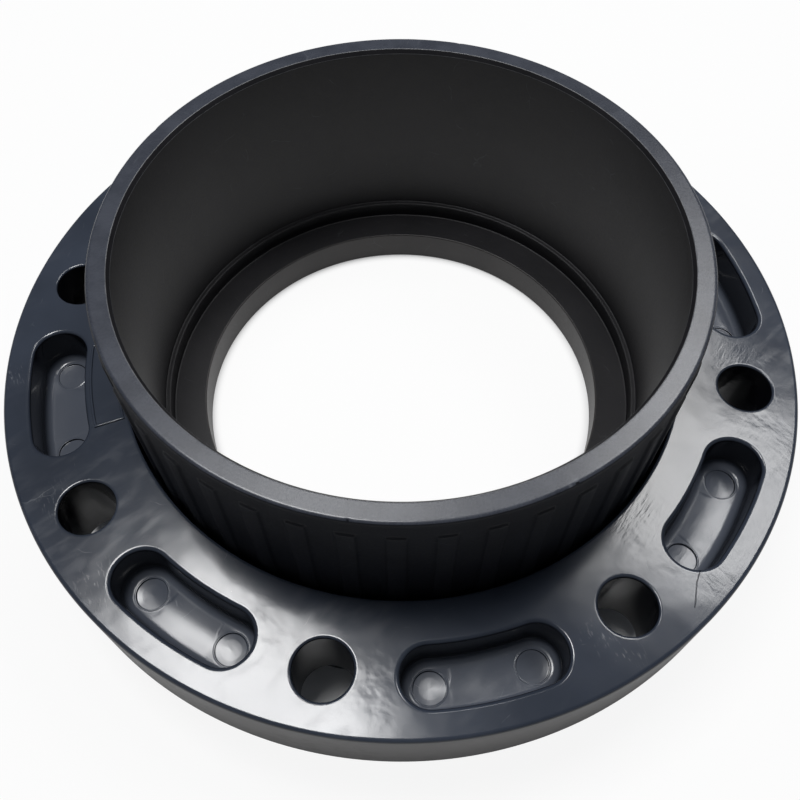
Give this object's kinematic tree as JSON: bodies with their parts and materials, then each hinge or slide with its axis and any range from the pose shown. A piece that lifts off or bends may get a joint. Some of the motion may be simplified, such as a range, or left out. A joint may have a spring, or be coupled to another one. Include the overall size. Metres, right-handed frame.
{
  "type": "lap joint flange",
  "caption": "Pipe flange with a socket hub that ends in a flat lap, and a loose backing ring with bolt holes that turns on it.",
  "frame": {"origin": "centre of the lap's sealing face", "axes": "+Z along the pipe axis, from the sealing face to the socket's mouth; +X through a bolt hole"},
  "size_m": [0.343, 0.343, 0.1175],
  "materials": {
    "hub_plastic": "satin",
    "ring_plastic": "gloss"
  },
  "bodies": {
    "hub": {"socket_hub": "hub_plastic"},
    "ring": {"backing_ring": "ring_plastic"}
  },
  "joints": [
    {"name": "ring_turn", "type": "hinge", "parent": "hub", "child": "ring", "pos_m": [0, 0, 0.0165], "axis": [0, 0, 1], "continuous": true}
  ]
}
